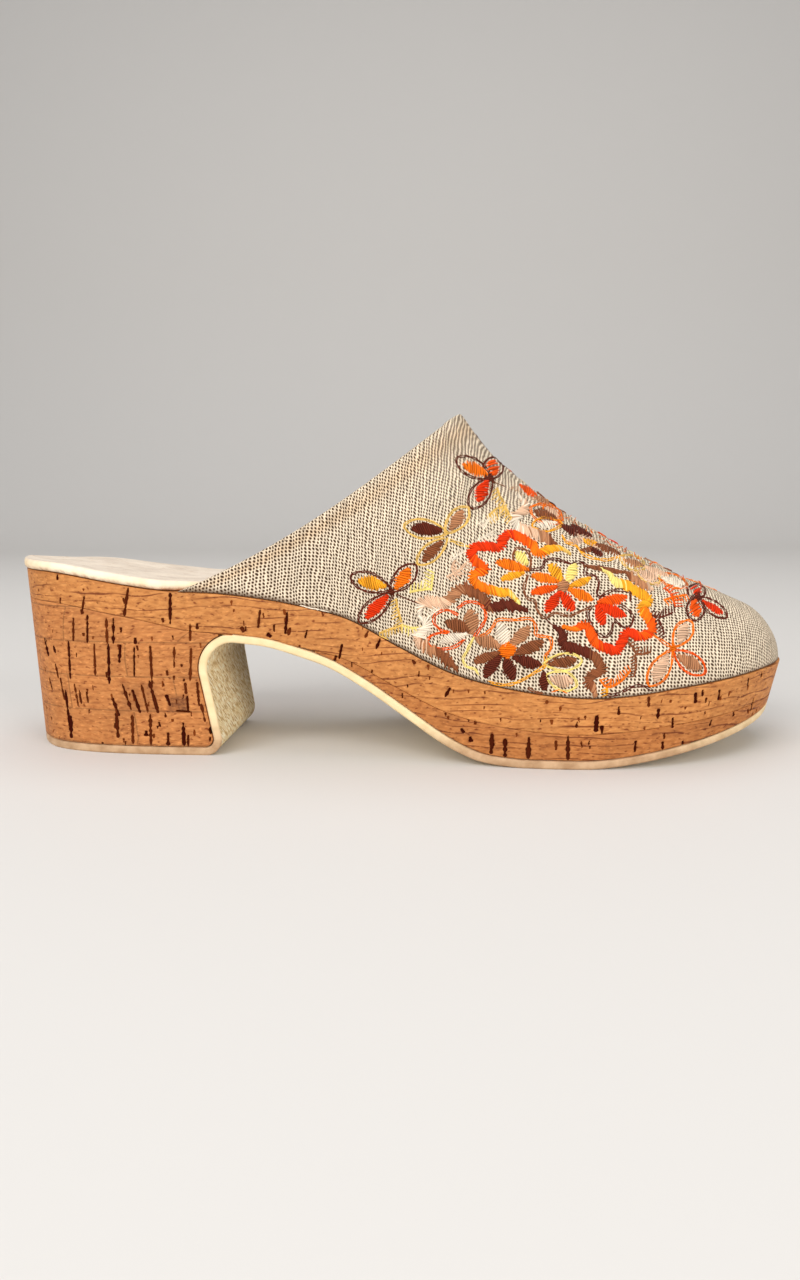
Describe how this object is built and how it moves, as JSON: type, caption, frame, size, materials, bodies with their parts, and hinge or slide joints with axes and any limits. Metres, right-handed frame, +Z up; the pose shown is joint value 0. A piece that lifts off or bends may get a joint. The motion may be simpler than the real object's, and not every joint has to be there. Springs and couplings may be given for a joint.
{
  "type": "platform clog",
  "caption": "Platform clog for the right foot: a linen mule upper, open at the back, on a cork platform sole with a block heel and a pale outsole strip.",
  "frame": {"origin": "middle of the shoe's box, on the floor", "axes": "+X from heel to toe, +Y towards the inner side of the right foot, +Z up"},
  "size_m": [0.2532, 0.0908, 0.1069],
  "materials": {
    "cream_rubber": "matte, rough on the breast",
    "cork": "satin cork sheet with dark pores",
    "dark_cork": "satin cork sheet, darker",
    "cream_leather": "matte, lightly scuffed",
    "linen": "coarse plain weave with embroidery"
  },
  "bodies": {
    "root": {"outsole": "cream_rubber", "heel": "cork", "forefoot_platform": "dark_cork", "midsole": "cork", "insole": "cream_leather", "upper": "linen"}
  },
  "joints": []
}
